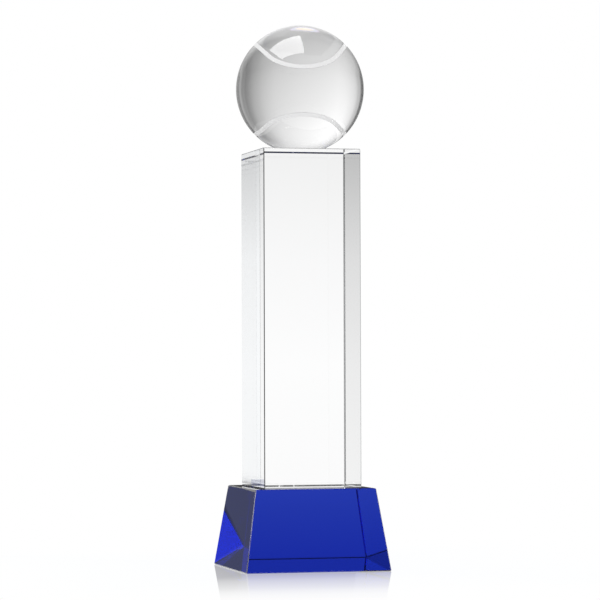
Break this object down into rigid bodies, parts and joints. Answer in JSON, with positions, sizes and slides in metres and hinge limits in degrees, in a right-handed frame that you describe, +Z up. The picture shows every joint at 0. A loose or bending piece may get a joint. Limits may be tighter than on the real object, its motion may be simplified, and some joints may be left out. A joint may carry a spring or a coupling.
{
  "type": "column trophy",
  "caption": "Clear crystal tennis ball bonded on a tall square crystal column and a tapered blue crystal base; a free-standing award.",
  "frame": {"origin": "middle of the base's underside, on the surface that the trophy stands on", "axes": "+Z up the column, front face (the face that is engraved) towards -Y, +X to the right of it"},
  "size_m": [0.0684, 0.0684, 0.254],
  "materials": {
    "blue_crystal": "polished, coloured cobalt blue through its body",
    "clear_crystal": "polished optical crystal",
    "frosted_seam": "sandblasted, white and matt",
    "adhesive": "clear film cured under ultraviolet light"
  },
  "bodies": {
    "root": {"base": "blue_crystal", "column_adhesive": "adhesive", "column": "clear_crystal", "ball_adhesive": "adhesive", "ball": "clear_crystal", "ball_seam": "frosted_seam"}
  },
  "joints": []
}
